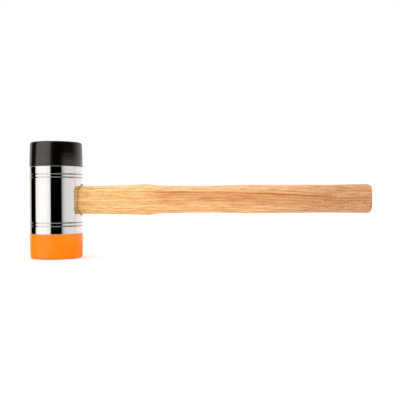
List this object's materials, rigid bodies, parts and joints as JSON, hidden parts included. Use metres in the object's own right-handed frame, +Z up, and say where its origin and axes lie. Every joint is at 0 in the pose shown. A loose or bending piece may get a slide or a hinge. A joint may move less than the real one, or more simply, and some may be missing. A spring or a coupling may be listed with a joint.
{
  "type": "rubber mallet",
  "caption": "Two-faced mallet: chromed steel tube head with a black rubber face and a harder orange face that unscrew, on a wedged wooden handle.",
  "frame": {"origin": "centre of the orange striking face, on which the mallet stands", "axes": "+Z up the head's axis to the black face, +X along the handle to its free end, +Y across the handle"},
  "size_m": [0.3209, 0.05, 0.1078],
  "materials": {
    "chromed_shell": "polished chrome plate on rolled steel",
    "cast_iron_core": "as-cast grey iron",
    "plug_steel": "turned, zinc plated",
    "insert_steel": "turned, zinc plated",
    "spring_steel": "blued spring steel",
    "black_rubber": "smooth moulded, slight gloss",
    "orange_nylon": "smooth moulded, soft sheen",
    "handle_wood": "sanded ash, clear varnish",
    "wedge_wood": "sawn beech",
    "wedge_steel": "cut strip, ground edge"
  },
  "bodies": {
    "head": {"head_shell": "chromed_shell", "eye_block": "cast_iron_core", "upper_end_plug": "plug_steel", "lower_end_plug": "plug_steel", "handle": "handle_wood", "wood_wedge": "wedge_wood", "steel_wedges": "wedge_steel"},
    "rubber_washer": {"rubber_face_washer": "spring_steel"},
    "rubber_face": {"rubber_face": "black_rubber", "rubber_face_insert": "insert_steel"},
    "nylon_washer": {"nylon_face_washer": "spring_steel"},
    "nylon_face": {"nylon_face": "orange_nylon", "nylon_face_insert": "insert_steel"}
  },
  "joints": [
    {"name": "rubber_advance", "type": "slide", "parent": "head", "child": "rubber_washer", "axis": [0, 0, 1], "range_m": [0, 0.014]},
    {"name": "rubber_unscrew", "type": "hinge", "parent": "rubber_washer", "child": "rubber_face", "pos_m": [0, 0, 0.0851], "axis": [0, 0, 1], "range_deg": [0, 2880]},
    {"name": "nylon_advance", "type": "slide", "parent": "head", "child": "nylon_washer", "axis": [0, 0, -1], "range_m": [0, 0.014]},
    {"name": "nylon_unscrew", "type": "hinge", "parent": "nylon_washer", "child": "nylon_face", "pos_m": [0, 0, 0.0226], "axis": [0, 0, -1], "range_deg": [0, 2880]}
  ],
  "couplings": [
    {"joint": "rubber_advance", "follows": "rubber_unscrew", "m_per_rad": 0.00027852},
    {"joint": "nylon_advance", "follows": "nylon_unscrew", "m_per_rad": 0.00027852}
  ]
}
